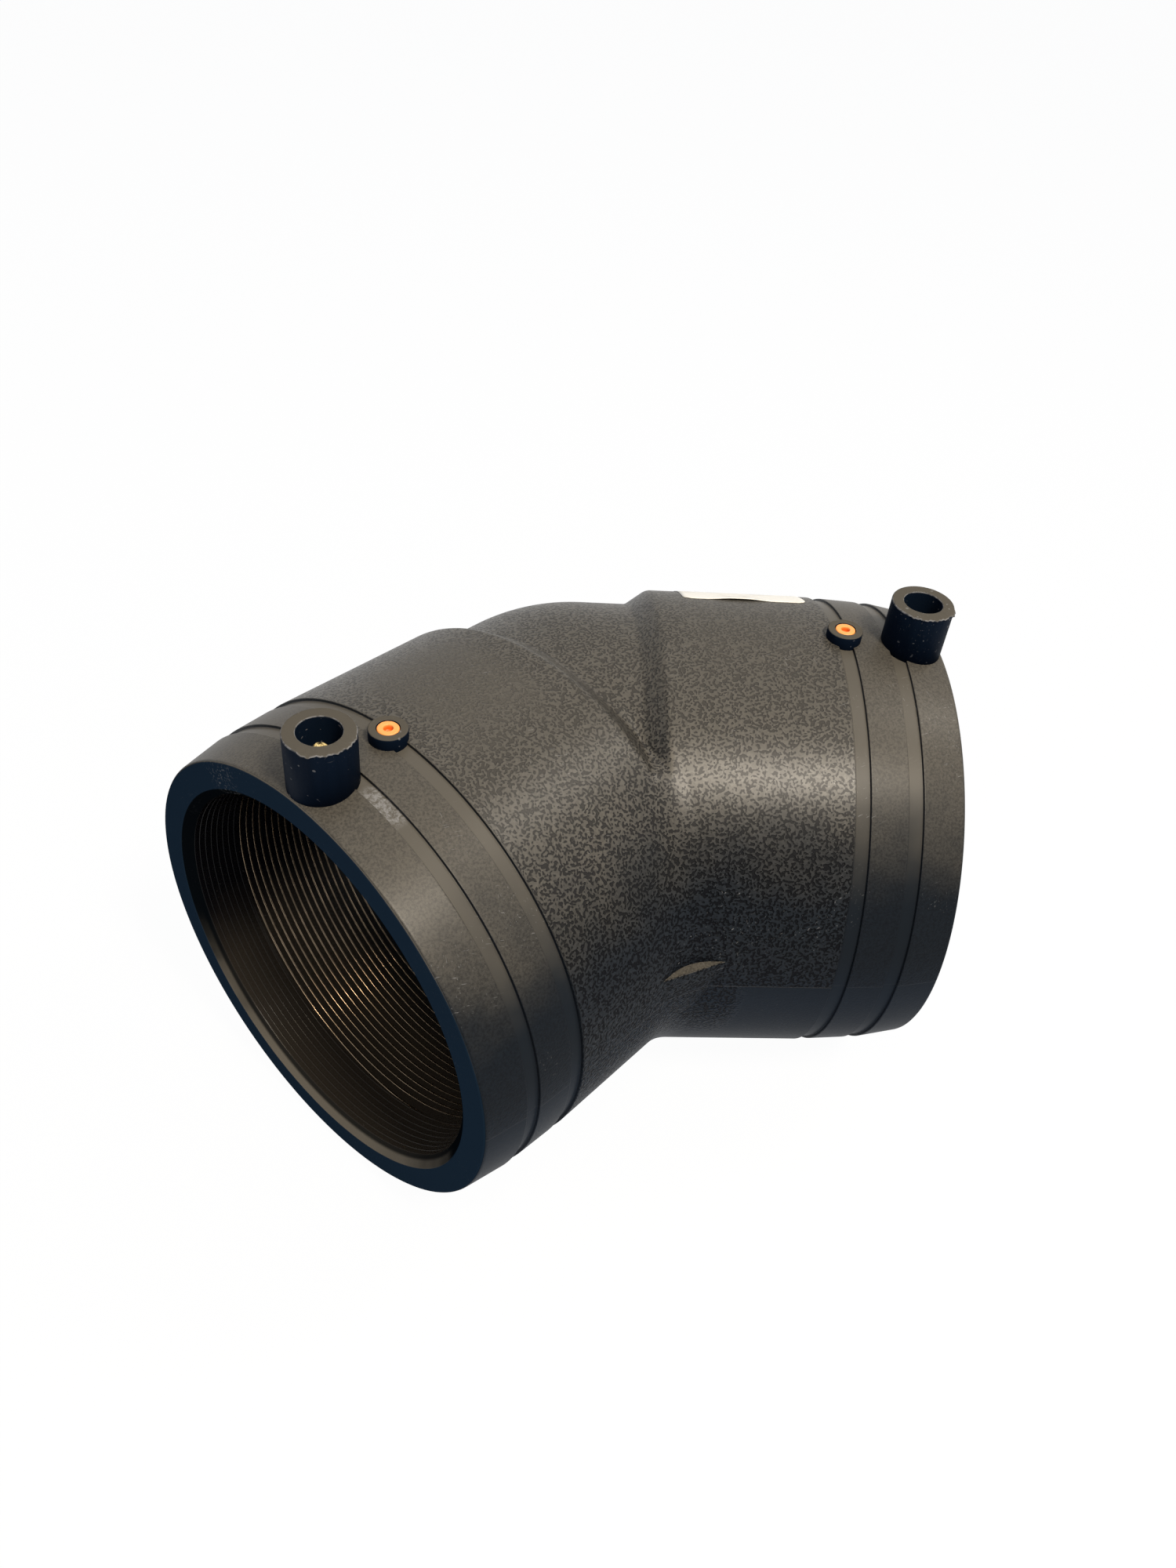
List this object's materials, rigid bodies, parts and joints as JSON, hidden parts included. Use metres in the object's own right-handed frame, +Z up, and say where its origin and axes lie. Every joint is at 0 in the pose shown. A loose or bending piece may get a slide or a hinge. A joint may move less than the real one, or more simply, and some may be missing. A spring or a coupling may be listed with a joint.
{
  "type": "electrofusion elbow",
  "caption": "Black polyethylene pipe elbow with a 45 degree bend, heating wire wound in both sockets, shrouded welding terminals, orange melt indicators and a blank label.",
  "frame": {"origin": "middle of the underside: under the centre of the bounding box in X and Y, on the plane the elbow rests on", "axes": "+Z up, along the welding terminals; both socket axes lie in the horizontal plane 69.2 mm up, 22.5 degrees either side of X and open towards -Y; the bend's outer side faces +Y; socket A is at -X and socket B at +X"},
  "size_m": [0.2366, 0.1642, 0.151],
  "materials": {
    "black_polyethylene": "black moulded polyethylene with a worm-like grain on the bend and smooth bands near the mouths",
    "resistance_wire": "bare copper-coloured resistance wire",
    "terminal_brass": "turned brass, slightly dented on top",
    "orange_plastic": "orange moulded plastic",
    "label_paper": "plain cream white sticker"
  },
  "bodies": {
    "root": {"elbow_body": "black_polyethylene", "heating_wire": "resistance_wire", "terminal_pin_a": "terminal_brass", "terminal_pin_b": "terminal_brass", "melt_indicator_a": "orange_plastic", "melt_indicator_b": "orange_plastic", "label": "label_paper"}
  },
  "joints": []
}
